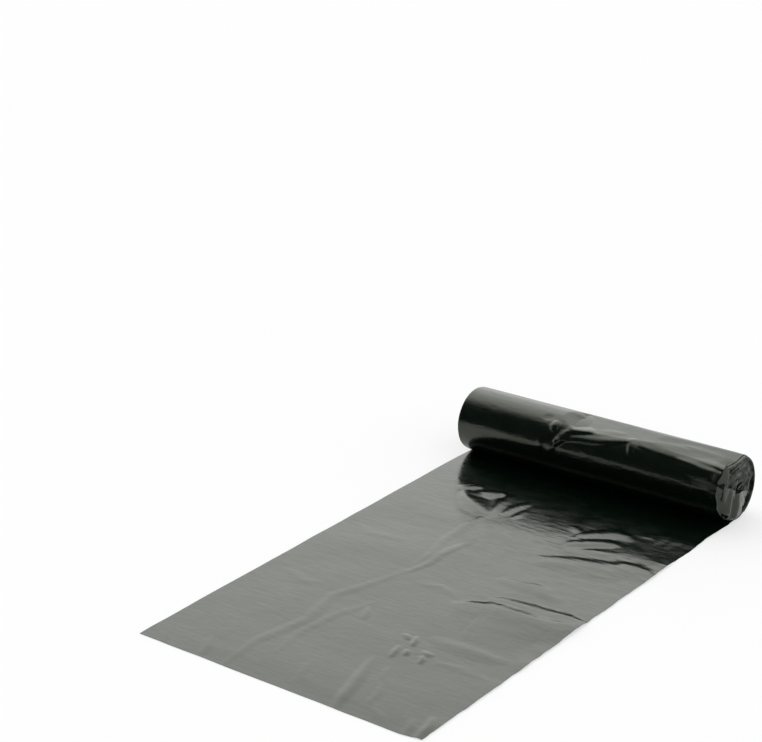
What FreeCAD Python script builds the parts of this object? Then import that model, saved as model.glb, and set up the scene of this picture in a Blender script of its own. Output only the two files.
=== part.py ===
"""A roll of black bin bags lying on a flat surface, its leading bag pulled out flat in front.

The film is one long folded strip, wound on itself with no core, so it is one solid. All of it is
drawn with the roll's axis over y = 0, and is then moved so that the origin is the middle of the
footprint: +X runs along the roll, -Y towards the free end of the strip and +Z up.
"""

import FreeCAD, Part
import math
import os

import Sketcher

V = FreeCAD.Vector

# Driving dimensions in millimetres, turns or degrees: alias, value, what it is.
SIZES = [
    ("roll_width", 350.0, "width of the folded film, so length of the roll"),
    ("roll_radius", 38.0, "outside of the outermost turn"),
    ("tail_length", 576.0, "from under the roll's axis to the free end of the strip"),
    ("strip_thickness", 0.5, "four plies of film and the air between them"),
    ("flat_width", 14.0, "flat spot that the soft roll rests on"),
    ("wrap_depth", 2.0, "outer turns that stop short of the inner ones at the ends"),
    ("turn_overhang", 1.5, "how far the inner turns stand out past the outer ones"),
    ("core_width", 23.0, "crushed hole in the middle, long way"),
    ("core_height", 5.5, "crushed hole in the middle, short way"),
    ("core_tilt", 12.0, "slant of the crushed hole"),
    ("gap_start", 13.5, "radius where the gaps between turns begin"),
    ("gap_turns", 5.0, "turns of the gap that shows in an end"),
    ("gap_width", 0.7, "width of that gap"),
    ("gap_depth", 4.0, "depth of that gap"),
    ("gap_margin", 1.0, "film left between the last gap and the outer turns"),
    ("crease_width", 9.0, "width of an ordinary crease in the strip"),
    ("crease_height", 2.0, "height of an ordinary crease, from the floor"),
    ("ruck_width", 6.0, "width of an ordinary ruck of the outer turn"),
    ("ruck_height", 1.2, "how far an ordinary ruck stands out"),
    ("facet_depth", 2.6, "how far an ordinary slack facet sinks in"),
]

# Creases of the strip: the middle's place as shares of half the width and of the tail's length,
# half of the crease's length as a share of half the width, its heading in degrees from the
# roll's axis, and its width and height as multiples of an ordinary crease's.
CREASES = [
    ("fold_line_far", -0.310, 0.350, 0.24, 94.0, 0.8, 0.6),
    ("fold_line_middle", -0.225, 0.480, 0.28, 85.0, 0.8, 0.6),
    ("fold_line_near", -0.335, 0.760, 0.48, 83.0, 0.9, 0.7),
    ("edge_crease_middle", 0.690, 0.522, 0.40, 2.0, 1.0, 1.0),
    ("edge_crease_near", 0.660, 0.562, 0.20, 5.0, 0.8, 0.7),
    ("edge_crease_far", 0.720, 0.310, 0.37, 12.0, 1.0, 1.1),
    ("roll_crease", 0.430, 0.218, 0.18, 40.0, 1.2, 1.2),
    ("roll_edge_crease", 0.880, 0.160, 0.18, 5.0, 1.0, 1.0),
    ("ripple_left", -0.640, 0.165, 0.07, 27.0, 0.9, 1.0),
    ("ripple_middle", -0.480, 0.190, 0.12, 15.0, 1.2, 1.3),
    ("ripple_right", -0.270, 0.205, 0.11, 86.0, 0.9, 1.2),
    ("near_crease", 0.605, 0.714, 0.25, 5.0, 0.9, 0.8),
    ("end_crease", 0.340, 0.910, 0.22, -72.0, 1.1, 0.9),
    ("corner_crease", 0.940, 0.955, 0.09, 90.0, 0.9, 0.9),
]

# Rucks of the roll's outer turn: as the creases, but with the middle's place round the roll in
# degrees up from the front, and multiples of an ordinary ruck.
RUCKS = [
    ("collar_ruck", -0.335, 56.0, 0.055, -60.0, 1.0, 1.0),
    ("front_ruck", -0.230, 22.0, 0.070, 62.0, 1.0, 1.1),
    ("waist_ruck", -0.110, 48.0, 0.080, 15.0, 0.8, 0.8),
    ("middle_ruck", 0.300, 46.0, 0.055, -42.0, 0.8, 0.8),
    ("end_ruck", 0.850, 40.5, 0.100, -5.0, 0.7, 0.6),
]

# Slack facets of the outer turn: where it is deepest, as a share of half the width and in
# degrees up from the front, how far it reaches to the left and to the right as shares of half
# the width, and its depth as a multiple of an ordinary facet's.
FACETS = [
    ("collar_facet", -0.143, 72.0, 0.057, 0.386, 1.5),
    ("end_facet", 1.0, 70.0, 0.414, 0.3, 1.3),
]

doc = FreeCAD.newDocument("BinBagRoll")
sheet = doc.addObject("Spreadsheet::Sheet", "Sheet")


def fill_sheet():
    """Writes each driving dimension into the sheet, with its alias and a note."""
    for row, (alias, value, note) in enumerate(SIZES, start=1):
        sheet.set(f"A{row}", alias)
        sheet.set(f"B{row}", str(value))
        sheet.set(f"C{row}", note)
        sheet.setAlias(f"B{row}", alias)
    doc.recompute()


def origin_plane(body, role):
    """The body's own origin plane with that role."""
    return next(f for f in body.Origin.OriginFeatures if f.Role == role)


def end_view_sketch(body, name):
    """A sketch seen along the roll's axis: its x is the row's Y and its y is Z."""
    sketch = body.newObject("Sketcher::SketchObject", name)
    sketch.AttachmentSupport = (origin_plane(body, "YZ_Plane"), [""])
    sketch.MapMode = "FlatFace"
    return sketch


def bind(sketch, constraint, name, expression):
    """Adds a dimension to the sketch and ties it to the sheet."""
    index = sketch.addConstraint(constraint)
    sketch.renameConstraint(index, name)
    sketch.setExpression(f"Constraints.{name}", expression)


def symmetric_pad(body, sketch, name, length):
    """Pads the sketch the same way to both ends of the roll."""
    pad = body.newObject("PartDesign::Pad", name)
    pad.Profile = sketch
    pad.Midplane = True
    pad.setExpression("Length", length)
    return pad


def draw_strip_and_outer_turn(body):
    """The strip on the floor, the flat spot, and one turn that ends a strip's thickness in."""
    radius = sheet.roll_radius
    half_flat = sheet.flat_width / 2
    thickness = sheet.strip_thickness
    tail = sheet.tail_length
    axis_z = math.sqrt(radius**2 - half_flat**2)
    inner_radius = radius - thickness / 2
    inner_z = axis_z + thickness / 2
    nip_y = -math.sqrt(inner_radius**2 - (inner_z - thickness) ** 2)
    sketch = end_view_sketch(body, "StripAndOuterTurn")
    front = Part.Arc(
        V(0, axis_z + radius, 0),
        V(-inner_radius, inner_z, 0),
        V(nip_y, thickness, 0),
    )
    back = Part.Arc(
        V(half_flat, 0, 0), V(radius, axis_z, 0), V(0, axis_z + radius, 0)
    )
    underside, back_turn, front_turn, upper_side, free_end = (
        sketch.addGeometry(shape, False)
        for shape in (
            Part.LineSegment(V(-tail, 0, 0), V(half_flat, 0, 0)),
            back,
            front,
            Part.LineSegment(V(nip_y, thickness, 0), V(-tail, thickness, 0)),
            Part.LineSegment(V(-tail, thickness, 0), V(-tail, 0, 0)),
        )
    )
    start, end, centre = 1, 2, 3
    x_axis, y_axis = -1, -2
    # Each arc runs anticlockwise, so the back one starts at the floor and the front one at the top.
    join = Sketcher.Constraint
    sketch.addConstraint(
        [
            join("PointOnObject", underside, start, x_axis),
            join("PointOnObject", underside, end, x_axis),
            join("Coincident", underside, end, back_turn, start),
            join("PointOnObject", back_turn, centre, y_axis),
            join("PointOnObject", back_turn, end, y_axis),
            join("Coincident", back_turn, end, front_turn, start),
            join("PointOnObject", front_turn, centre, y_axis),
            join("Coincident", front_turn, end, upper_side, start),
            join("Horizontal", upper_side),
            join("Coincident", upper_side, end, free_end, start),
            join("Vertical", free_end),
            join("Coincident", free_end, end, underside, start),
        ]
    )
    tail_to_axis = join("DistanceX", underside, start, x_axis, start, tail)
    axis_to_flat = join("DistanceX", x_axis, start, underside, end, half_flat)
    bind(sketch, tail_to_axis, "tail", "Sheet.tail_length")
    bind(sketch, axis_to_flat, "half_flat", "Sheet.flat_width / 2")
    bind(sketch, join("Radius", back_turn, radius), "outer", "Sheet.roll_radius")
    bind(
        sketch,
        join("Radius", front_turn, inner_radius),
        "inner",
        "Sheet.roll_radius - Sheet.strip_thickness / 2",
    )
    height = join("DistanceY", x_axis, start, upper_side, start, thickness)
    bind(sketch, height, "thickness", "Sheet.strip_thickness")
    return sketch


AXIS_HEIGHT = "sqrt(Sheet.roll_radius ^ 2 - (Sheet.flat_width / 2) ^ 2)"


def draw_inner_turns(body):
    """The end view of all the turns inside the outer ones, which reach further out."""
    sketch = end_view_sketch(body, "InnerTurns")
    radius = sheet.roll_radius - sheet.wrap_depth
    axis_z = math.sqrt(sheet.roll_radius**2 - (sheet.flat_width / 2) ** 2)
    circle = sketch.addGeometry(Part.Circle(V(0, axis_z, 0), V(0, 0, 1), radius), False)
    join = Sketcher.Constraint
    sketch.addConstraint(join("PointOnObject", circle, 3, -2))
    bind(sketch, join("DistanceY", -1, 1, circle, 3, axis_z), "axis", AXIS_HEIGHT)
    bind(
        sketch,
        join("Radius", circle, radius),
        "radius",
        "Sheet.roll_radius - Sheet.wrap_depth",
    )
    return sketch


def draw_crushed_hole(body):
    """Where the first turns were wound: a hole squeezed to a slanting lens of two arcs."""
    sketch = end_view_sketch(body, "CrushedHole")
    half_width, half_height = sheet.core_width / 2, sheet.core_height / 2
    arc_radius = (half_width**2 + half_height**2) / (2 * half_height)
    half_angle = math.asin(half_width / arc_radius)
    # Arcs run anticlockwise, so the upper one starts on the right and the lower on the left.
    for side, middle in ((1, math.pi / 2), (-1, -math.pi / 2)):
        centre_below = V(0, -side * (arc_radius - half_height), 0)
        circle = Part.Circle(centre_below, V(0, 0, 1), arc_radius)
        arc = Part.ArcOfCircle(circle, middle - half_angle, middle + half_angle)
        sketch.addGeometry(arc, False)
    start, end, centre = 1, 2, 3
    x_axis, y_axis, origin = -1, -2, (-1, 1)
    upper, lower = 0, 1
    join = Sketcher.Constraint
    sketch.addConstraint(
        [
            join("Coincident", upper, start, lower, end),
            join("Coincident", upper, end, lower, start),
            join("PointOnObject", upper, start, x_axis),
            join("PointOnObject", upper, end, x_axis),
            join("PointOnObject", upper, centre, y_axis),
            join("Equal", upper, lower),
        ]
    )
    half = join("DistanceX", *origin, upper, start, half_width)
    bind(sketch, half, "half_width", "Sheet.core_width / 2")
    bind(
        sketch,
        join("Radius", upper, arc_radius),
        "arc_radius",
        "(Sheet.core_width ^ 2 + Sheet.core_height ^ 2) / (4 * Sheet.core_height)",
    )
    # The offset's own axes are the sketch's: its x is across the roll and its y is up.
    sketch.setExpression("AttachmentOffset.Base.y", AXIS_HEIGHT)
    sketch.setExpression("AttachmentOffset.Rotation.Angle", "Sheet.core_tilt")
    return sketch


def make_roll_body():
    """The strip with the wound turns on it, and the crushed hole through them."""
    body = doc.addObject("PartDesign::Body", "WoundFilm")
    symmetric_pad(
        body, draw_strip_and_outer_turn(body), "OuterTurn", "Sheet.roll_width"
    )
    symmetric_pad(
        body,
        draw_inner_turns(body),
        "InnerTurnsPad",
        "Sheet.roll_width + 2 * Sheet.turn_overhang",
    )
    hole = body.newObject("PartDesign::Pocket", "CrushedHolePocket")
    hole.Profile = draw_crushed_hole(body)
    hole.Midplane = True
    hole.setExpression("Length", "Sheet.roll_width + 4 * Sheet.turn_overhang")
    return body


def make_gap_cutter(side):
    """The spiral gap between turns in one end: an upright rectangle swept along a spiral."""
    name = "GapRight" if side > 0 else "GapLeft"
    last_radius = "(Sheet.roll_radius - Sheet.wrap_depth - Sheet.gap_margin - Sheet.gap_width)"
    spiral = doc.addObject("Part::Spiral", name + "Path")
    spiral.setExpression("Radius", "Sheet.gap_start")
    spiral.setExpression("Rotations", "Sheet.gap_turns")
    spiral.setExpression("Growth", f"({last_radius} - Sheet.gap_start) / Sheet.gap_turns")
    # Half of the rectangle is past the end of the roll, so that the cut is open.
    profile = doc.addObject("Part::Plane", name + "Profile")
    profile.setExpression("Length", "Sheet.gap_width")
    profile.setExpression("Width", "2 * Sheet.gap_depth")
    profile.Placement.Rotation = FreeCAD.Rotation(V(1, 0, 0), 90)
    profile.setExpression("Placement.Base.x", "Sheet.gap_start")
    profile.setExpression("Placement.Base.z", "-Sheet.gap_depth")
    sweep = doc.addObject("Part::Sweep", name)
    sweep.Sections = [profile]
    sweep.Spine = (spiral, [])
    sweep.Solid = True
    sweep.Placement.Rotation = FreeCAD.Rotation(V(0, 1, 0), 90)
    end = "(Sheet.roll_width / 2 + Sheet.turn_overhang)"
    sweep.setExpression("Placement.Base.x", f"{side} * {end}")
    sweep.setExpression("Placement.Base.z", AXIS_HEIGHT)
    return sweep


def make_ridge(name, share, half_length, heading, width, height, roundness):
    """A low ridge that tapers to both ends: a buried rod, bent so that only its top comes out.

    Its local y is straight out of the film and its local z runs along the ridge. The roundness
    is the reciprocal of the radius of the surface below, along the ridge.
    """
    title = "".join(word.title() for word in name.split("_"))
    length = f"({half_length} * Sheet.roll_width / 2)"
    rod_radius = f"(({width} ^ 2 / 4 + {height} ^ 2) / (2 * {height}))"
    bend_radius = f"(1 / ({roundness} + 2 * {height} / {length} ^ 2))"
    section = doc.addObject("Part::Circle", title + "Section")
    section.setExpression("Radius", rod_radius)
    ridge = doc.addObject("Part::Revolution", title)
    ridge.Source = section
    ridge.Axis = V(1, 0, 0)
    ridge.Solid = True
    ridge.Symmetric = True
    # The rod goes on a quarter further than the ridge shows, to end below the surface.
    ridge.setExpression("Angle", f"2.5 * {length} / {bend_radius} * 180 / pi")
    ridge.setExpression("Base.y", f"-{bend_radius}")
    ridge.setExpression("Placement.Base.x", f"{share} * Sheet.roll_width / 2")
    inset = f"({rod_radius} - {height})"
    along_x = FreeCAD.Rotation(V(0, 1, 0), 90)
    return ridge, inset, FreeCAD.Rotation(V(0, 1, 0), heading).multiply(along_x)


def make_crease(name, share, tail_share, half_length, heading, width, height):
    """A crease of the strip, which lies on the floor."""
    ridge, inset, turned = make_ridge(
        name,
        share,
        half_length,
        heading,
        f"({width} * Sheet.crease_width)",
        f"({height} * Sheet.crease_height)",
        "0",
    )
    ridge.Placement.Rotation = FreeCAD.Rotation(V(1, 0, 0), 90).multiply(turned)
    ridge.setExpression("Placement.Base.y", f"-{tail_share} * Sheet.tail_length")
    ridge.setExpression("Placement.Base.z", f"-{inset}")
    return ridge


def place_round_roll(shape, angle, turned, inset):
    """Puts a turned shape on the roll with y straight out, at an angle up from the front."""
    outward = FreeCAD.Rotation(V(1, 0, 0), 180 - angle)
    shape.Placement.Rotation = outward.multiply(turned)
    reach = f"(Sheet.roll_radius - Sheet.strip_thickness / 2 - {inset})"
    cosine, sine = math.cos(math.radians(angle)), math.sin(math.radians(angle))
    shape.setExpression("Placement.Base.y", f"-{cosine} * {reach}")
    shape.setExpression("Placement.Base.z", f"{AXIS_HEIGHT} + {sine} * {reach}")


def make_ruck(name, share, angle, half_length, heading, width, height):
    """A ruck of slack film in the roll's outer turn."""
    ridge, inset, turned = make_ridge(
        name,
        share,
        half_length,
        heading,
        f"({width} * Sheet.ruck_width)",
        f"({height} * Sheet.ruck_height)",
        f"{math.sin(math.radians(heading)) ** 2} / Sheet.roll_radius",
    )
    place_round_roll(ridge, angle, turned, inset)
    return ridge


def make_facet(name, share, angle, left, right, depth):
    """A wedge that bites the roll: where the outer turn is slack it lies in two flat planes."""
    wedge = doc.addObject("Part::Wedge", "".join(word.title() for word in name.split("_")))
    bite = f"({depth} * Sheet.facet_depth)"
    # Its base is as far outside the roll as its sharp edge is inside, so it is twice as long.
    wedge.setExpression("Xmin", f"-{left} * Sheet.roll_width")
    wedge.setExpression("Xmax", f"{right} * Sheet.roll_width")
    wedge.X2min = 0
    wedge.X2max = 0
    for limit in ("Zmin", "Z2min"):
        wedge.setExpression(limit, "-Sheet.roll_radius")
    for limit in ("Zmax", "Z2max"):
        wedge.setExpression(limit, "Sheet.roll_radius")
    wedge.Ymin = 0
    wedge.setExpression("Ymax", f"2 * {bite}")
    wedge.setExpression("Placement.Base.x", f"{share} * Sheet.roll_width / 2")
    point_in = FreeCAD.Rotation(V(1, 0, 0), 180)
    place_round_roll(wedge, angle, point_in, f"-{bite}")
    return wedge


def boolean(kind, name, base, tool):
    """A Part boolean of two objects."""
    result = doc.addObject(kind, name)
    result.Base = base
    result.Tool = tool
    return result


def join_all(name, shapes):
    """One object that fuses several."""
    fused = doc.addObject("Part::MultiFuse", name)
    fused.Shapes = shapes
    return fused


def make_bag_roll():
    """The whole film: the body, its creases and rucks, less the slack facets and the gaps."""
    body = make_roll_body()
    footprint = doc.addObject("Part::Box", "StripFootprint")
    footprint.setExpression("Length", "Sheet.roll_width")
    footprint.setExpression("Width", "Sheet.tail_length")
    footprint.setExpression("Height", "Sheet.roll_radius")
    footprint.setExpression("Placement.Base.x", "-Sheet.roll_width / 2")
    footprint.setExpression("Placement.Base.y", "-Sheet.tail_length")
    creases = join_all("Creases", [make_crease(*crease) for crease in CREASES])
    trimmed = boolean("Part::Common", "TrimmedCreases", creases, footprint)
    facets = [make_facet(*facet) for facet in FACETS]
    gaps = [make_gap_cutter(side) for side in (1, -1)]
    hollows = join_all("FacetsAndGaps", facets + gaps)
    slack = boolean("Part::Cut", "SlackRoll", body, hollows)
    rucks = [make_ruck(*ruck) for ruck in RUCKS]
    roll = join_all("BagRoll", [slack, trimmed, *rucks])
    roll.Label = "bag_roll"
    roll.setExpression("Placement.Base.y", "(Sheet.tail_length - Sheet.roll_radius) / 2")
    return roll


def check_document(parts):
    """Stops if an object failed to recompute, or a part's shape is not one sound solid."""
    for obj in doc.Objects:
        if {"Invalid", "Error"} & set(obj.State):
            raise SystemExit(f"{obj.Label} failed: {obj.State}")
    for part in parts:
        shape = part.Shape
        if shape.isNull() or not shape.isValid() or len(shape.Solids) != 1:
            raise SystemExit(f"{part.Label} is not one valid solid")
        box = shape.BoundBox
        print(
            f"{part.Label}: {shape.Volume / 1000:.1f} cm3,"
            f" x {box.XMin:.2f} to {box.XMax:.2f}, y {box.YMin:.2f} to {box.YMax:.2f},"
            f" z {box.ZMin:.2f} to {box.ZMax:.2f}"
        )


def main():
    fill_sheet()
    parts = [make_bag_roll()]
    doc.recompute()
    check_document(parts)
    os.makedirs("parts", exist_ok=True)
    for part in parts:
        part.Shape.exportStep(f"parts/{part.Label}.step")


main()
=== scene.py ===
"""Roll of black bin bags: one long folded film, pulled out flat in front and wound behind."""

import math

import bpy
from mathutils import Matrix, Vector, noise


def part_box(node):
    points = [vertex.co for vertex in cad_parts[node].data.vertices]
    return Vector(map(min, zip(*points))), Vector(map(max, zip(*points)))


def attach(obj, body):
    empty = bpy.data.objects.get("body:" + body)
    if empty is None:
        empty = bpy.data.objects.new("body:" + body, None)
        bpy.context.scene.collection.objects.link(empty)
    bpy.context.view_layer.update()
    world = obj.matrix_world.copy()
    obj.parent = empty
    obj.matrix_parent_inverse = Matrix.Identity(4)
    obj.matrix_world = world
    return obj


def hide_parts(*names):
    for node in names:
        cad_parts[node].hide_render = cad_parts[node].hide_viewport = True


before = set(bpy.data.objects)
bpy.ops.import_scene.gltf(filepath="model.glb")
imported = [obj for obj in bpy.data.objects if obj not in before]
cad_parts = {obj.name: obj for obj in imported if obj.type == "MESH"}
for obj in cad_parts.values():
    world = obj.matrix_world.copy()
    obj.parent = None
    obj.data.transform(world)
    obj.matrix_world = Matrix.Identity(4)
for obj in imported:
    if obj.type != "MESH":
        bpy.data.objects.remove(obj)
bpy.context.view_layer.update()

MM = 0.001

# The roll's sizes are the CAD's, in millimetres, with places from the floor under its axis.
low, high = (Vector(corner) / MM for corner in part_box("bag_roll"))
ROLL_RADIUS = 38.0
FLAT_HALF = 7.0
AXIS_HEIGHT = math.sqrt(ROLL_RADIUS**2 - FLAT_HALF**2)
AXIS_Y = high.y - ROLL_RADIUS
TAIL_LENGTH = AXIS_Y - low.y
HALF_WIDTH = 175.0
# The film's thickness, how much smaller each turn is than the one outside it, where the
# outer turn ends in degrees round from the bottom, and the film's length round one degree.
FILM = 0.4
TURN_PITCH = 0.72
SEAM_ANGLE = 384.0
ROUND = ROLL_RADIUS * math.pi / 180


def smooth(edge_low, edge_high, value):
    """0 at the first edge, 1 at the second and an S-curve between."""
    share = min(max((value - edge_low) / (edge_high - edge_low), 0.0), 1.0)
    return share * share * (3.0 - 2.0 * share)


def tent(left, top, right, value):
    """0 at the left and right, 1 at the top and straight between."""
    if value < top:
        return max((value - left) / (top - left), 0.0)
    return max((right - value) / (right - top), 0.0)


def soft_min(a, b, softness):
    """The smaller of two values, rounded where they cross."""
    gap = max(softness - abs(a - b), 0.0) / softness
    return min(a, b) - gap * gap * softness * 0.25


def soft_max(a, b, softness):
    """The larger of two values, rounded where they cross."""
    return -soft_min(-a, -b, softness)


def ripple(x, y, wave_x, wave_y, seed):
    """Even noise between about -1 and 1, with its own wavelength each way."""
    return noise.noise(Vector((x / wave_x, y / wave_y, seed)))


def pucker(x, y, wave_x, wave_y, seed):
    """Noise that folds to sharp little ridges, between 0 and 1."""
    return (1.0 - abs(ripple(x, y, wave_x, wave_y, seed)) * 1.6) ** 2


class Fold:
    """A sharp fold along a chain of points, with a flat of film down each side of it.

    It narrows to both ends as it gets lower, like a leaf. Left and right are the widths of
    its flats, seen along the chain, and crest is the radius that rounds its top, all in mm.
    """

    def __init__(self, points, height, left, right, crest=1.0):
        self.points = points
        self.height = height
        self.left = left
        self.right = right
        self.crest = crest
        reach = 1.2 * max(left, right)
        self.low_x = min(p[0] for p in points) - reach
        self.high_x = max(p[0] for p in points) + reach
        self.low_y = min(p[1] for p in points) - reach
        self.high_y = max(p[1] for p in points) + reach
        self.lengths = [math.dist(a, b) for a, b in zip(points, points[1:])]
        self.total = sum(self.lengths)

    def nearest(self, x, y):
        """How far the place is from the chain, on which side, and how far along it."""
        best = None
        done = 0.0
        for (ax, ay), (bx, by), length in zip(self.points, self.points[1:], self.lengths):
            dx, dy = (bx - ax) / length, (by - ay) / length
            along = min(max((x - ax) * dx + (y - ay) * dy, 0.0), length)
            off_x, off_y = x - ax - dx * along, y - ay - dy * along
            away = math.hypot(off_x, off_y)
            if best is None or away < best[0]:
                best = (away, dx * off_y - dy * off_x, (done + along) / self.total)
            done += length
        return best

    def lift(self, x, y):
        """How far the fold stands out there, in mm."""
        if not (self.low_x < x < self.high_x and self.low_y < y < self.high_y):
            return 0.0
        away, side, share = self.nearest(x, y)
        taper = math.sin(math.pi * min(max(share, 0.0), 1.0)) ** 0.6
        if taper < 0.02:
            return 0.0
        width = (self.left if side > 0 else self.right) * (0.25 + 0.75 * taper)
        down = (math.hypot(away, self.crest) - self.crest) / width
        # The flat eases out at its foot, and is a little hollow below and full above.
        foot = 0.15
        left_over = 1.0 - down
        if left_over < -foot:
            return 0.0
        if left_over < foot:
            left_over = (left_over + foot) ** 2 / (4.0 * foot)
        left_over += 0.7 * (smooth(0, 1, left_over) - left_over)
        return self.height * taper * left_over


# Folds of the strip: points in mm from under the roll's axis, then the height, the widths of
# the two flats and the crest. With the points going to the right, the left flat faces the roll.
STRIP_FOLDS = [
    # By the roll, on the left.
    Fold([(-124, -108), (-113, -102), (-104, -93), (-97, -97)], 1.1, 5, 12, 1.5),
    Fold([(-102, -116), (-93, -109), (-82, -102), (-71, -96), (-63, -99)], 1.7, 8, 16, 1.5),
    Fold([(-112, -113), (-98, -124), (-82, -135), (-66, -146), (-52, -152)], 2.3, 17, 14, 1.8),
    Fold([(-60, -92), (-58, -114), (-54, -132), (-46, -152)], 1.3, 8, 7, 1.5),
    Fold([(-29, -92), (-34, -106), (-38, -120), (-39, -142)], 1.0, 8, 8, 1.5),
    Fold([(-24, -116), (-23, -129), (-25, -144)], 0.6, 5, 6),
    # By the roll, on the right.
    Fold([(36, -121), (46, -123), (54, -127), (60, -138)], 0.7, 5, 8),
    Fold(
        [(57, -148), (66, -131), (78, -119), (91, -109), (103, -108), (113, -115)],
        1.3, 9, 12, 3.0,
    ),
    Fold([(57, -162), (69, -153), (81, -145), (94, -137), (108, -130)], 1.6, 12, 11, 2.0),
    Fold([(80, -164), (92, -163), (105, -159), (120, -153)], 0.8, 10, 9, 2.0),
    Fold([(70, -162), (112, -158), (142, -157), (200, -160)], 0.7, 36, 30, 3.0),
    Fold([(110, -98), (132, -88), (152, -85), (190, -84)], 1.0, 9, 14, 2.0),
    Fold([(133, -90), (135, -98), (136, -108)], 0.4, 6, 6, 1.5),
    Fold([(148, -88), (150, -97), (152, -110)], 0.5, 6, 6, 1.5),
    Fold([(165, -86), (167, -95), (166, -106)], 0.5, 6, 6, 1.5),
    # Across the right half.
    Fold(
        [(48, -210), (68, -202), (88, -195), (104, -190), (116, -187), (127, -183)]
        + [(138, -176), (149, -172.5), (161, -174), (173, -180), (188, -188)],
        1.6, 13, 34, 3.0,
    ),
    Fold([(56, -216), (72, -209), (90, -205), (104, -210)], 0.45, 8, 12, 2.0),
    Fold([(46, -272), (66, -270), (92, -266), (130, -280)], 0.9, 9, 16, 2.0),
    Fold([(58, -232), (78, -241), (94, -256)], 0.3, 7, 8, 2.0),
    Fold(
        [(64, -315), (82, -311), (104, -310), (128, -309.5), (154, -306), (196, -311)],
        2.3, 14, 75, 1.5,
    ),
    Fold(
        [(40, -346), (60, -336), (78, -330), (104, -331), (129, -330), (150, -327), (176, -312)],
        2.3, 14, 75, 1.5,
    ),
    Fold([(66, -414), (88, -416), (112, -414), (158, -413)], 0.9, 9, 16, 2.0),
    Fold([(98, -462), (104, -452), (128, -448), (166, -452)], 0.3, 6, 8),
    # The long fold line of the bag, left of the middle.
    Fold([(-52, -146), (-56, -190), (-54, -232), (-45, -262), (-44, -300)], 0.5, 9, 7),
    Fold([(-24, -206), (-31, -236), (-35, -262), (-32, -284), (-40, -320)], 0.7, 7, 8),
    Fold(
        [(-42, -308), (-50, -345), (-70, -400), (-58, -455), (-70, -520), (-64, -590)],
        0.5, 10, 8,
    ),
    Fold([(-22, -380), (-40, -430), (-46, -480), (-38, -530)], 0.3, 8, 7),
    # Small dents and the folds of the free end.
    Fold([(54, -421), (59, -430), (63, -441)], 1.5, 4, 4, 0.5),
    Fold([(40, -424), (48, -428), (52, -433)], 1.1, 4, 4, 0.5),
    Fold([(62, -448), (66, -453), (69, -459)], 1.5, 4, 4, 0.5),
    Fold([(82, -449), (87, -456), (90, -464)], 1.4, 4, 4, 0.5),
    Fold([(52, -446), (55, -456), (59, -470)], 1.2, 4, 5, 0.5),
    Fold([(76, -442), (84, -445), (92, -443)], 0.9, 5, 5),
    Fold([(-25, -400), (-19, -408), (-11, -424)], 0.7, 5, 4),
    Fold([(44, -478), (54, -506), (64, -538), (78, -590)], 1.3, 9, 8),
    Fold([(68, -486), (76, -502), (86, -512)], 0.5, 4, 4),
    Fold([(82, -508), (92, -530), (96, -556)], 0.4, 6, 5),
    Fold([(104, -556), (120, -564), (140, -586)], 0.7, 5, 4),
    Fold([(146, -550), (154, -564), (160, -590)], 1.0, 6, 5),
    Fold([(160, -536), (167, -552), (172, -590)], 1.9, 6, 6),
    Fold([(-160, -560), (-150, -568), (-140, -590)], 0.6, 5, 5),
    Fold([(-112, -540), (-100, -560), (-94, -590)], 0.5, 7, 6),
    Fold([(0, -520), (10, -545), (30, -560)], 0.4, 8, 7),
    Fold([(-150, -380), (-118, -392), (-92, -386)], 0.4, 7, 9),
    Fold([(-165, -250), (-130, -262), (-84, -254)], 0.35, 7, 9),
    Fold([(-20, -330), (10, -322), (40, -330)], 0.3, 7, 8),
]


def round_roll(*places):
    """Places on the roll, mm along it and degrees up from the front, on the film laid flat."""
    return [(x, angle * ROUND) for x, angle in places]


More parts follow.
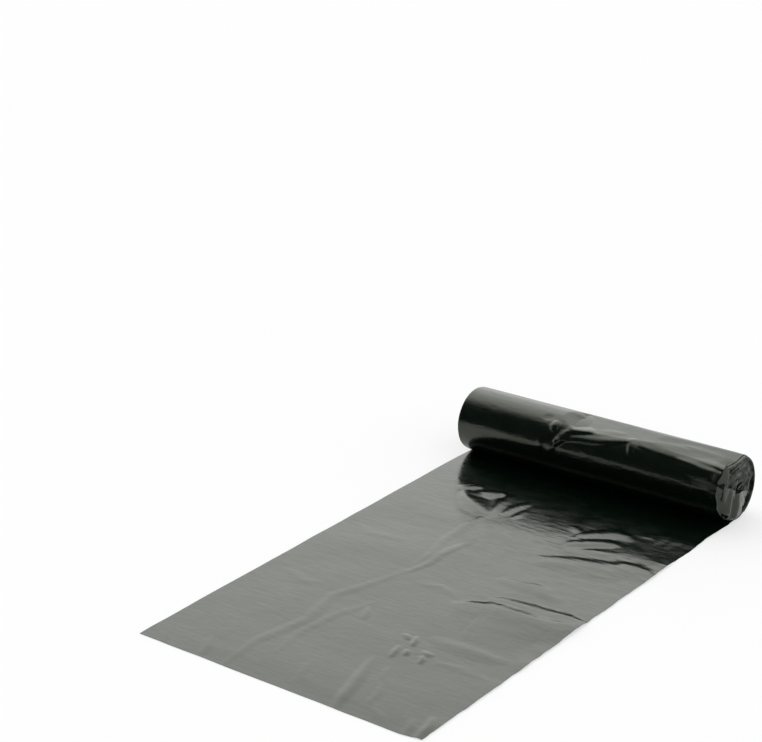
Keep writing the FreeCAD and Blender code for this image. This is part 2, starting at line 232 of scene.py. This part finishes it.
# Folds of the roll's outer turn. With the points going to the right, the left flat faces up.
ROLL_FOLDS = [
    # The collar, where the slack film on the right meets the tight film on the left.
    Fold(round_roll((-68, 60), (-63, 62), (-58, 63), (-53, 62)), -0.9, 7, 5),
    Fold(round_roll((-50, 60), (-47, 53), (-46, 46), (-46, 37)), 2.2, 5, 10),
    Fold(round_roll((-26, 46), (-29, 40), (-33, 31), (-41, 17)), 2.1, 5, 9),
    Fold(round_roll((-40, 26), (-44, 13), (-47, -4)), 1.2, 5, 6),
    Fold(round_roll((-63, 26), (-60, 14), (-61, 0)), 0.9, 4, 6),
    Fold(round_roll((-38, 95), (-31, 98), (-23, 95)), 0.8, 4, 5),
    # The slack film's lower border, and the lip over it.
    Fold(
        round_roll((-36, 26), (-20, 33), (-8, 36.5), (6, 39), (16, 41.5), (31, 48), (52, 59)),
        1.8, 8, 3.6,
    ),
    Fold(round_roll((-32, 46), (-22, 49), (-10, 53), (4, 58)), 1.4, 10, 4.2),
    Fold(round_roll((50, 66), (54, 52), (58, 31)), 1.9, 6, 7),
    Fold(round_roll((60, 56), (76, 52), (96, 50), (120, 48), (140, 46)), 0.8, 8, 4),
    Fold(round_roll((126, 51), (148, 53), (184, 54)), 0.7, 8, 3.6),
    Fold(round_roll((112, 47), (138, 42), (156, 40.5), (190, 39)), 2.2, 6.5, 15, 1.2),
    # Faint ones.
    Fold(round_roll((-10, 70), (-5, 60), (2, 54)), 0.5, 5, 5),
    Fold(round_roll((8, 66), (24, 70), (40, 74)), 0.4, 6, 6),
    Fold(round_roll((70, 66), (96, 74), (124, 72)), 0.5, 7, 9),
    Fold(round_roll((98, 80), (130, 84), (160, 82)), 0.5, 7, 8),
    Fold(round_roll((144, -8), (154, -14), (166, -12)), 0.5, 5, 5),
    Fold(round_roll((92, 28), (96, 8), (90, -20)), 0.25, 9, 9),
    Fold(round_roll((128, 24), (132, 2), (126, -24)), 0.25, 9, 9),
    Fold(round_roll((-110, 150), (-40, 156), (30, 148)), 0.6, 8, 8),
    Fold(round_roll((20, 170), (80, 164), (150, 172)), 0.6, 9, 7),
    Fold(round_roll((-150, 205), (-90, 198), (-20, 206)), 0.6, 8, 9),
]


def strip_height(x, y):
    """Height of the film's underside above the floor, in mm, where it lies pulled out."""
    lift = sum(fold.lift(x, y) for fold in STRIP_FOLDS)
    # The film sinks a little towards the roll in the middle, and more at the right.
    middle = smooth(-60, -25, x) * (1.0 - smooth(25, 55, x))
    lift -= 0.6 * middle * smooth(-165, -100, y) * (1.0 - smooth(-95, -40, y))
    lift -= 1.1 * smooth(85, 115, x) * smooth(-150, -106, y) * (1.0 - smooth(-96, -60, y))
    # The rest is broad waves and fine crinkles, calmer by the roll and livelier on the right.
    by_roll = smooth(-170, -150, y)
    across_right = smooth(20, 70, x) * smooth(-420, -330, y) * (1.0 - by_roll)
    lift += 1.0 + (0.9 - 0.65 * by_roll) * ripple(x, y, 95, 62, 3.1)
    lift += (0.10 - 0.06 * by_roll) * ripple(x, y, 44, 17, 8.4)
    lift += (0.05 + 0.12 * across_right) * pucker(x, y, 46, 13, 1.7)
    lift += (0.03 + 0.06 * across_right) * pucker(x, y, 24, 7, 6.6)
    edge = smooth(150, HALF_WIDTH, x)
    lift += edge * 0.9 * max(ripple(x, y, 400, 24, 2.8), 0.0)
    # It lies flat under the roll and along the free end.
    settled = smooth(-10, -60, y) * smooth(-TAIL_LENGTH - 4, -TAIL_LENGTH + 26, y)
    return soft_max(lift * (0.3 + 0.7 * settled), 0.05, 0.1)


def slack_radius(x, up, nominal):
    """The outer turn's radius, less where it is slack and lies flat across the top, in mm."""
    by_collar = 5.6 * tent(-46, -24, 116, x)
    by_end = 4.8 * tent(26, 178, 400, x)
    radius = nominal
    for depth, normal in ((by_collar, 83.0), (by_end, 81.0)):
        flat = math.cos(math.radians(min(abs(up - normal), 75.0)))
        radius = soft_min(radius, (nominal - depth) / flat, 0.35)
    return radius


def on_front(up):
    """1 on the roll's front, falling to 0 before its top and its underside."""
    return smooth(-85, -50, up) * (1.0 - smooth(62, 88, up))


def end_tuck(x, up):
    """How far the soft edges of the film are pushed in at the roll's right end, in mm."""
    pleats = 0.75 + 0.45 * noise.noise(Vector((up / 13.0, 0.4, 7.7)))
    return smooth(158, 176, x) * max(pleats, 0.0) * (0.7 + 2.4 * on_front(up))


def cut_back(x, up):
    """How far the right end slants back towards the roll's front, in mm along the roll."""
    slant = 5.0 + 1.6 * noise.noise(Vector((up / 21.0, 0.9, 3.2)))
    return smooth(150, 175, x) * slant * on_front(up)


def outer_radius(x, turn_angle):
    """Radius of the outer turn's outside, in mm, at an angle round from the bottom."""
    up = 270.0 - turn_angle
    radius = ROLL_RADIUS - TURN_PITCH * turn_angle / 360.0
    radius = slack_radius(x, up, radius)
    film = up * ROUND
    crumpled = smooth(-80, -40, x)
    radius += 0.10 * ripple(x, film, 70, 30, 5.5)
    radius += crumpled * (0.14 * ripple(x, film, 28, 14, 6.2) + 0.08 * pucker(x, film, 22, 8, 3.3))
    radius += sum(fold.lift(x, film) for fold in ROLL_FOLDS)
    return radius - end_tuck(x, up)


def above_floor(height, layers_below):
    """Keeps a turn on top of the layers that lie under it."""
    return soft_max(height, layers_below * (FILM + 0.06), 0.4)


def to_frame(point):
    """Millimetres from under the roll's axis to metres in the frame."""
    return Vector((point.x, point.y + AXIS_Y, point.z)) * MM


def paced(start, end, wide, places):
    """Numbers from start to end, a wide step apart but a closer one in each given place."""
    values = [start]
    while values[-1] < end - 0.4:
        here = values[-1]
        step = min([close for first, last, close in places if first - wide < here < last] + [wide])
        values.append(end if here + 1.4 * step > end else here + step)
    return values


def make_sheet(name, rows, columns, place, film_length):
    """A sheet mesh of rows by columns, with its UVs in metres of flat film."""
    vertices = [to_frame(place(x, row)) for row in rows for x in columns]
    across = len(columns)
    faces = []
    for row in range(len(rows) - 1):
        for column in range(across - 1):
            corner = row * across + column
            faces.append((corner, corner + 1, corner + across + 1, corner + across))
    mesh = bpy.data.meshes.new(name)
    mesh.from_pydata(vertices, [], faces)
    film_uv = mesh.uv_layers.new(name="film")
    lengths = [film_length(row) for row in rows]
    for loop in mesh.loops:
        row, column = divmod(loop.vertex_index, across)
        film_uv.data[loop.index].uv = (columns[column] * MM, lengths[row] * MM)
    sheet = bpy.data.objects.new(name, mesh)
    bpy.context.scene.collection.objects.link(sheet)
    return sheet


def select_only(piece):
    """Makes the piece the one selected and active object."""
    bpy.ops.object.select_all(action="DESELECT")
    piece.select_set(True)
    bpy.context.view_layer.objects.active = piece


def give_thickness(sheet, thickness):
    """Turns the sheet into a closed film of that thickness, inwards from its outside."""
    select_only(sheet)
    bpy.ops.object.shade_smooth()
    solidify = sheet.modifiers.new("film", "SOLIDIFY")
    solidify.thickness = thickness * MM
    solidify.offset = -1.0
    solidify.use_even_offset = False
    bpy.ops.object.modifier_apply(modifier=solidify.name)
    bpy.ops.object.shade_smooth_by_angle(angle=math.radians(50))


# The strip pulled out in front.
def strip_place(x, s):
    """A point of the strip's upper side, s mm from the free end; the cut edges wander a little."""
    y = s - TAIL_LENGTH
    edge = (abs(x) / HALF_WIDTH) ** 8
    wander = 0.4 * ripple(math.copysign(300, x), s, 100, 33, 9.3)
    if x > 0:
        wander += 0.9 * ripple(300, s, 100, 31, 2.3) + 0.7 * ripple(300, s, 100, 11, 5.2) - 0.4
    x += math.copysign(edge, x) * wander
    corner = (1.0 - smooth(0, 22, s)) * smooth(150, HALF_WIDTH, x)
    y += 3.0 * corner + 0.5 * (1.0 - smooth(0, 12, s)) * ripple(x, 0, 38, 1, 4.4)
    return Vector((x, y, strip_height(x, y) + FILM))


# Where the rows and columns are closer, for the folds: from, to and step, in mm.
NEAR_ROLL = (TAIL_LENGTH - 205, TAIL_LENGTH - 84, 1.25)
ACROSS_RIGHT = (TAIL_LENGTH - 338, TAIL_LENGTH - 292, 1.25)
BY_DENTS = (TAIL_LENGTH - 470, TAIL_LENGTH - 418, 1.5)
LEFT_FOLDS = (-114, -66, 1.8)
LONG_FOLD = (-66, -22, 1.4)
RIGHT_FOLDS = (44, 94, 1.9)
strip_rows = paced(0.0, TAIL_LENGTH, 2.9, (NEAR_ROLL, ACROSS_RIGHT, BY_DENTS))
strip_columns = paced(-HALF_WIDTH, HALF_WIDTH, 2.8, (LEFT_FOLDS, LONG_FOLD, RIGHT_FOLDS))
strip = make_sheet("strip", strip_rows, strip_columns, strip_place, lambda s: s)
give_thickness(strip, FILM)

# The outer turn.
turn_length = ROLL_RADIUS * math.radians(SEAM_ANGLE)


def turn_place(x, turn_angle):
    """A point of the outer turn's outside, which stops short of the inner turns' ends."""
    edge = (abs(x) / HALF_WIDTH) ** 6
    on_roll = smooth(0, 60, turn_angle)
    s = turn_angle * ROUND
    wander = 0.4 * ripple(math.copysign(300, x), TAIL_LENGTH + s, 100, 33, 9.3)
    x += math.copysign(edge, x) * (wander - 1.6 * on_roll)
    radius = outer_radius(x, turn_angle)
    x -= cut_back(x, 270.0 - turn_angle)
    if turn_angle < 12:
        under = strip_height(x, 0.0) + FILM
        radius += (AXIS_HEIGHT - under - radius) * (1.0 - smooth(0, 12, turn_angle))
    angle = math.radians(turn_angle)
    z = AXIS_HEIGHT - radius * math.cos(angle)
    if turn_angle > 90:
        z = above_floor(z, smooth(200, 300, turn_angle))
    else:
        z = soft_max(z, FILM + 0.05, 0.2)
    return Vector((x, radius * math.sin(angle), z))


# The rows are closer on the roll's front and top, in degrees up from the front.
FRONT_AND_TOP = (-25, 108, 1.8)
COLLAR = (-74, 60, 1.7)
RIGHT_END = (158, 176, 1.7)
up_rows = paced(270.0 - SEAM_ANGLE, 270.0, 4.2, (FRONT_AND_TOP,))
turn_rows = [270 - up for up in up_rows][::-1]
turn_columns = paced(-HALF_WIDTH, HALF_WIDTH, 2.6, (COLLAR, RIGHT_END))
outer_turn = make_sheet(
    "outer_turn",
    turn_rows,
    turn_columns,
    turn_place,
    lambda turn_angle: TAIL_LENGTH + turn_angle * ROUND,
)
give_thickness(outer_turn, FILM)

# The wound bags.
CORE_HALF_WIDTH = 11.5
CORE_HALF_HEIGHT = 2.6
CORE_TILT = math.radians(12)
WOUND_TURNS = 46
STEPS_PER_TURN = 96
WOUND_FILM = 0.46
first_angle = SEAM_ANGLE
last_angle = SEAM_ANGLE + 360.0 * WOUND_TURNS
outer_wound = ROLL_RADIUS - TURN_PITCH * SEAM_ANGLE / 360.0


def turn_share(turn_angle):
    """1 at the outside of the wound bags and 0 at the crushed hole."""
    return 1.0 - (turn_angle - first_angle) / (last_angle - first_angle)


def wound_place(x, turn_angle):
    """A point of the wound bags: rings outside that flatten towards the crushed hole."""
    share = turn_share(turn_angle)
    wide = CORE_HALF_WIDTH + (outer_wound - CORE_HALF_WIDTH) * share
    tall = CORE_HALF_HEIGHT + (outer_wound - CORE_HALF_HEIGHT) * share
    angle = math.radians(turn_angle)
    spin = CORE_TILT * (1.0 - share)
    direction = angle + spin
    flat_y, flat_z = wide * math.sin(direction), -tall * math.cos(direction)
    y = flat_y * math.cos(spin) - flat_z * math.sin(spin)
    z = flat_y * math.sin(spin) + flat_z * math.cos(spin)
    # Slack flats and tucked edges of the outer turn press the turns inside it in as well.
    up = math.degrees(math.atan2(z, -y))
    if up < -90:
        up += 360
    room = slack_radius(x, up, outer_wound) - end_tuck(x, up) * smooth(0.2, 1.0, share) - 0.2
    # The turns between the outside and the hole are looser near the ends.
    scale = 1.0 + (room / outer_wound - 1.0) * share
    side = math.copysign(1.0, x)
    near_end = smooth(150, 175, abs(x))
    loose = 4.0 * share * (1.0 - share)
    crumple = ripple(y, z, 13, 13, 2.0 + side) + 0.6 * ripple(y, z, 6, 6, 5.0 + side)
    scale += near_end * loose * crumple * 0.10
    y, z = y * scale, z * scale
    layers = 1.0 + (turn_angle - first_angle) / 360.0
    height = AXIS_HEIGHT + z
    if layers < 4:
        height = above_floor(height, layers)
    # The ends are dished, uneven, and pressed in where a flap lies over them.
    bowl = 3.0 * smooth(1.0, 0.80, share) - 1.5 * smooth(0.6, 0.1, share)
    hollows = 2.6 * ripple(y, z, 17, 12, 8.0 + side) + 1.5 * ripple(y, z, 7, 6, 1.0 + side)
    each_turn = 0.5 * ripple(turn_angle / 360.0, side, 0.37, 0.2, 0.3)
    pressed = on_front(up) * smooth(0.45, 0.75, share)
    step_out = 1.2 - bowl + smooth(1.0, 0.85, share) * (1.0 - 0.7 * pressed) * hollows + each_turn
    by_flap = smooth(-62, -44, up) * (1.0 - smooth(48, 66, up))
    under_flap = cut_back(x, up) + 4.0 * smooth(150, 175, x) * by_flap
    x -= under_flap * smooth(0.7, 1.0, share)
    return Vector((x + side * near_end * step_out, y, height))


# The columns are closer near the ends, which alone can be seen.
wound_half = (0.0, 150.0, 161.0, 168.0, 172.0, HALF_WIDTH)
wound_columns = [-x for x in wound_half[:0:-1]] + list(wound_half)
wound_steps = WOUND_TURNS * STEPS_PER_TURN
wound_rows = [first_angle + 360.0 * step / STEPS_PER_TURN for step in range(wound_steps + 1)]
wound_lengths = {first_angle: 0.0}
for before, row in zip(wound_rows, wound_rows[1:]):
    wound_lengths[row] = wound_lengths[before] + math.dist(
        wound_place(0.0, before), wound_place(0.0, row)
    )
wound_bags = make_sheet(
    "wound_bags",
    wound_rows,
    wound_columns,
    wound_place,
    lambda turn_angle: TAIL_LENGTH + turn_length + wound_lengths[turn_angle],
)
give_thickness(wound_bags, WOUND_FILM)


# The film pressed over the right end.
# Places on the end are mm behind and above its middle.
END_FOLDS = [
    # The pressed hole goes on as a slit across the whole end.
    Fold([(-40, 18), (-22, 10), (0, 1), (22, -8), (40, -16)], -2.4, 3.5, 3.5),
    # The front flap's bright inner side, below the slit and above it.
    Fold([(-8, 9), (-14, -4), (-19, -16), (-20, -40)], 3.6, 9, 8, 1.2),
    Fold([(-14, 42), (-22, 30), (-24, 9)], 3.0, 7, 11, 1.5),
    # The back flap, bent up along its front side.
    Fold([(0, 9), (-3, -6), (-2, -18), (-6, -32), (-8, -48)], 4.6, 23, 9, 1.5),
    Fold([(4, -12), (14, -20), (20, -34)], 0.9, 6, 6),
]


def end_relief(y, z):
    """How far the flaps stand out from the end; nothing at the roll's rim."""
    relief = sum(fold.lift(y, z) for fold in END_FOLDS) + 0.8 * ripple(y, z, 9, 14, 6.4)
    return relief * smooth(36.5, 32.5, math.hypot(y, z))


# The flaps' film, in mm: across each flap, up half of the front one and down the back one.
FLAP_WIDTH = 26.0
FRONT_FLAP_HALF = 33.0
BACK_FLAP_LENGTH = 38.0
# Radii of the end and of the rim that each flap starts from, and places along the roll.
END_RADIUS = 37.0
FRONT_RIM_RADIUS = 36.8
BACK_RIM_RADIUS = 36.4
FRONT_RIM_X = 172.4
BACK_RIM_X = 171.6
FRONT_FLAP_X = 174.0


def front_flap_place(across, up):
    """The flap along the front of the end, from the roll's rim to its free edge."""
    rim_angle = math.degrees(math.asin(up / END_RADIUS))
    radius = FRONT_RIM_RADIUS - end_tuck(172, rim_angle)
    rim = -math.sqrt(max(radius**2 - up**2, 16.0))
    by_slit = smooth(-20, 1, up) * (1.0 - smooth(4, 13, up))
    free = max(-15.0 + 9.0 * by_slit + 1.2 * ripple(0, up, 1, 9, 3.0), rim + 2.0)
    y = rim + (free - rim) * across / FLAP_WIDTH
    rim_x = FRONT_RIM_X - cut_back(HALF_WIDTH, rim_angle)
    middle_x = FRONT_FLAP_X - 2.0 * smooth(4, 12, up)
    x = rim_x + (middle_x - rim_x) * smooth(0, 9, y - rim) + end_relief(y, up)
    return Vector((x, y, AXIS_HEIGHT + up))


def back_flap_place(across, along):
    """The three-cornered flap low on the end, from its front edge to the roll's rim."""
    down = along / BACK_FLAP_LENGTH
    front = Vector((-11.0 - 7.0 * smooth(0.0, 0.4, down), -3.0 - 28.0 * down))
    angle = math.radians(-18.0 - 78.0 * down)
    rim = Vector((math.cos(angle), math.sin(angle))) * BACK_RIM_RADIUS
    y, z = front.lerp(rim, across / FLAP_WIDTH)
    x = BACK_RIM_X + 2.4 * smooth(1.0, 0.8, across / FLAP_WIDTH) + end_relief(y, z)
    # Its front edge goes under the front flap.
    x -= 1.8 * smooth(7, 0, across)
    return Vector((x, y, AXIS_HEIGHT + z))


def flap_area(place, rows, columns):
    """The flat area of a flap's film, from its grid of points, in square metres."""
    total = 0.0
    for low_row, high_row in zip(rows, rows[1:]):
        for left_column, right_column in zip(columns, columns[1:]):
            corner = place(left_column, low_row)
            side = place(right_column, low_row) - corner
            rise = place(left_column, high_row) - corner
            total += side.cross(rise).length
    return total * MM * MM


across_flap = [float(step) for step in range(round(FLAP_WIDTH) + 1)]
up_flap = [FRONT_FLAP_HALF - step for step in range(round(2 * FRONT_FLAP_HALF) + 1)]
along_flap = [float(step) for step in range(round(BACK_FLAP_LENGTH) + 1)]
front_flap = make_sheet("front_flap", up_flap, across_flap, front_flap_place, lambda up: -up)
back_flap = make_sheet("back_flap", along_flap, across_flap, back_flap_place, lambda along: along)
for flap in (front_flap, back_flap):
    give_thickness(flap, FILM)


# The film's two finishes.
def film_material(name, base, roughness_low, roughness_high, wrinkle):
    """Glossy black polythene: drawn streaks along the roll, small crumples, an uneven gloss."""
    material = bpy.data.materials.new(name)
    material.use_nodes = True
    nodes, links = material.node_tree.nodes, material.node_tree.links
    nodes.clear()
    output = nodes.new("ShaderNodeOutputMaterial")
    shader = nodes.new("ShaderNodeBsdfPrincipled")
    links.new(shader.outputs["BSDF"], output.inputs["Surface"])
    shader.inputs["Base Color"].default_value = (*base, 1.0)
    shader.inputs["IOR"].default_value = 1.56
    shader.inputs["Specular Tint"].default_value = (0.95, 1.0, 0.84, 1.0)
    uv = nodes.new("ShaderNodeUVMap")
    uv.uv_map = "film"

    def film_noise(scale_x, scale_y, detail, rough):
        """Noise on the film laid flat, with its own scale along the roll and round it."""
        mapping = nodes.new("ShaderNodeMapping")
        mapping.inputs["Scale"].default_value = (scale_x, scale_y, 1.0)
        links.new(uv.outputs["UV"], mapping.inputs["Vector"])
        texture = nodes.new("ShaderNodeTexNoise")
        texture.inputs["Scale"].default_value = 1.0
        texture.inputs["Detail"].default_value = detail
        texture.inputs["Roughness"].default_value = rough
        links.new(mapping.outputs["Vector"], texture.inputs["Vector"])
        return texture.outputs["Fac"]

    gloss = nodes.new("ShaderNodeMapRange")
    gloss.inputs["From Min"].default_value = 0.35
    gloss.inputs["From Max"].default_value = 0.65
    gloss.inputs["To Min"].default_value = roughness_low
    gloss.inputs["To Max"].default_value = roughness_high
    links.new(film_noise(40, 90, 3.0, 0.5), gloss.inputs["Value"])
    links.new(gloss.outputs["Result"], shader.inputs["Roughness"])
    normal = None
    bumps = (
        (film_noise(30, 240, 2.0, 0.5), 0.00016 * wrinkle),
        (film_noise(110, 170, 2.0, 0.5), 0.00018 * wrinkle),
        (film_noise(700, 1100, 1.0, 0.5), 0.00001),
    )
    for height, distance in bumps:
        bump = nodes.new("ShaderNodeBump")
        bump.inputs["Strength"].default_value = 1.0
        bump.inputs["Distance"].default_value = distance
        links.new(height, bump.inputs["Height"])
        if normal:
            links.new(normal, bump.inputs["Normal"])
        normal = bump.outputs["Normal"]
    links.new(normal, shader.inputs["Normal"])
    return material


black_film = film_material("black_film", (0.001, 0.0042, 0.0024), 0.15, 0.24, 1.0)
wound_film = film_material("wound_film", (0.005, 0.0078, 0.006), 0.22, 0.34, 0.6)
coats = (
    (strip, black_film),
    (outer_turn, black_film),
    (wound_bags, wound_film),
    (front_flap, black_film),
    (back_flap, black_film),
)
for piece, material in coats:
    piece.data.materials.append(material)
    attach(piece, "root")
    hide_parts("bag_roll")

# The film's flat sizes, in metres.
front_area = flap_area(front_flap_place, up_flap, across_flap)
back_area = flap_area(back_flap_place, along_flap, across_flap)


# The floor.
def shader_nodes(owner):
    """The nodes and links of a shader, emptied."""
    owner.use_nodes = True
    owner.node_tree.nodes.clear()
    return owner.node_tree.nodes, owner.node_tree.links


def make_white_paper():
    """White paper that the camera and the gloss of the film see nearer to pure white."""
    paper = bpy.data.materials.new("white_paper")
    nodes, links = shader_nodes(paper)
    output = nodes.new("ShaderNodeOutputMaterial")
    mix = nodes.new("ShaderNodeMixShader")
    matt = nodes.new("ShaderNodeBsdfDiffuse")
    matt.inputs["Color"].default_value = (0.85, 0.85, 0.85, 1.0)
    white = nodes.new("ShaderNodeEmission")
    path = nodes.new("ShaderNodeLightPath")
    seen = path.outputs["Is Camera Ray"]
    for ray in ("Is Glossy Ray", "Is Transmission Ray"):
        either = nodes.new("ShaderNodeMath")
        either.operation = "MAXIMUM"
        links.new(seen, either.inputs[0])
        links.new(path.outputs[ray], either.inputs[1])
        seen = either.outputs["Value"]
    share = nodes.new("ShaderNodeMath")
    share.operation = "MULTIPLY"
    share.inputs[1].default_value = 0.55
    links.new(seen, share.inputs[0])
    links.new(share.outputs["Value"], mix.inputs["Fac"])
    links.new(matt.outputs["BSDF"], mix.inputs[1])
    links.new(white.outputs["Emission"], mix.inputs[2])
    links.new(mix.outputs["Shader"], output.inputs["Surface"])
    return paper


bpy.ops.object.select_all(action="DESELECT")
bpy.ops.mesh.primitive_plane_add(size=30.0, location=(0.0, 6.0, 0.0))
floor = bpy.context.object
floor.name = "floor"
floor.data.materials.append(make_white_paper())


# The studio.
def make_studio():
    """White to the camera. The object is lit from behind and the left, softly from the right."""
    world = bpy.data.worlds.new("studio")
    bpy.context.scene.world = world
    nodes, links = shader_nodes(world)

    def ranged(value, from_min, from_max, to_min, to_max, curve="SMOOTHSTEP"):
        """The value taken from one range to another, held at the ends of the range."""
        node = nodes.new("ShaderNodeMapRange")
        node.interpolation_type = curve
        limits = {"From Min": from_min, "From Max": from_max, "To Min": to_min, "To Max": to_max}
        for limit, number in limits.items():
            node.inputs[limit].default_value = number
        links.new(value, node.inputs["Value"])
        return node.outputs["Result"]

    def maths(operation, first, second):
        """The result of an operation on two sockets or numbers."""
        node = nodes.new("ShaderNodeMath")
        node.operation = operation
        for socket, value in zip(node.inputs, (first, second)):
            if isinstance(value, float):
                socket.default_value = value
            else:
                links.new(value, socket)
        return node.outputs["Value"]

    direction = nodes.new("ShaderNodeTexCoord").outputs["Generated"]
    apart = nodes.new("ShaderNodeSeparateXYZ")
    links.new(direction, apart.inputs["Vector"])
    x, y, z = (apart.outputs[axis] for axis in "XYZ")
    # A bright wall behind, dimmer down to the floor and to the right.
    backwards = maths("ADD", maths("MULTIPLY", y, 0.956), maths("MULTIPLY", z, 0.295))
    back = maths(
        "MULTIPLY",
        ranged(backwards, -0.15, 0.5, 0.0, 2.3),
        ranged(z, 0.0, 0.5, 0.58, 1.0, "LINEAR"),
    )
    back = maths("MULTIPLY", back, ranged(x, -0.15, 0.35, 1.0, 0.3))
    # A softer wall at the right, and a bright narrow one at the far left.
    right = ranged(x, 0.1, 0.45, 0.0, 1.1)
    left = ranged(x, -0.95, -0.78, 2.2, 0.0)
    sides = maths("MAXIMUM", right, left)
    level = maths("ADD", maths("MAXIMUM", back, sides), 0.05)
    around = nodes.new("ShaderNodeBackground")
    around.inputs["Color"].default_value = (1.0, 1.0, 1.0, 1.0)
    links.new(level, around.inputs["Strength"])
    seen = nodes.new("ShaderNodeBackground")
    seen.inputs["Color"].default_value = (1.0, 1.0, 1.0, 1.0)
    mix = nodes.new("ShaderNodeMixShader")
    path = nodes.new("ShaderNodeLightPath")
    links.new(path.outputs["Is Camera Ray"], mix.inputs["Fac"])
    links.new(around.outputs["Background"], mix.inputs[1])
    links.new(seen.outputs["Background"], mix.inputs[2])
    output = nodes.new("ShaderNodeOutputWorld")
    links.new(mix.outputs["Shader"], output.inputs["Surface"])


make_studio()

# The camera.
CAMERA_AZIMUTH = math.radians(38.556)
CAMERA_ELEVATION = math.radians(21.253)
CAMERA_ROLL = math.radians(-1.333)
CAMERA_DISTANCE = 2779.7
CAMERA_AIM = Vector((-423.04, 130.41, 0.0))
FOCAL_PIXELS = 2127.167
FRAME_PIXELS = 762.0


def add_camera():
    """The camera, where the lines of the roll and the strip in the photograph put it."""
    camera = bpy.data.cameras.new("camera")
    camera.sensor_fit = "HORIZONTAL"
    camera.sensor_width = 36.0
    camera.lens = camera.sensor_width * FOCAL_PIXELS / FRAME_PIXELS
    camera.clip_end = 100.0
    back = Vector(
        (
            math.sin(CAMERA_AZIMUTH) * math.cos(CAMERA_ELEVATION),
            -math.cos(CAMERA_AZIMUTH) * math.cos(CAMERA_ELEVATION),
            math.sin(CAMERA_ELEVATION),
        )
    )
    right = (-back).cross(Vector((0.0, 0.0, 1.0))).normalized()
    up = right.cross(-back)
    tilted_right = right * math.cos(CAMERA_ROLL) + up * math.sin(CAMERA_ROLL)
    tilted_up = up * math.cos(CAMERA_ROLL) - right * math.sin(CAMERA_ROLL)
    holder = bpy.data.objects.new("camera", camera)
    turn = Matrix((tilted_right, tilted_up, back)).transposed()
    holder.matrix_world = (
        Matrix.Translation(to_frame(CAMERA_AIM + back * CAMERA_DISTANCE)) @ turn.to_4x4()
    )
    bpy.context.scene.collection.objects.link(holder)
    bpy.context.scene.camera = holder


add_camera()
bpy.context.scene.view_settings.view_transform = "Standard"
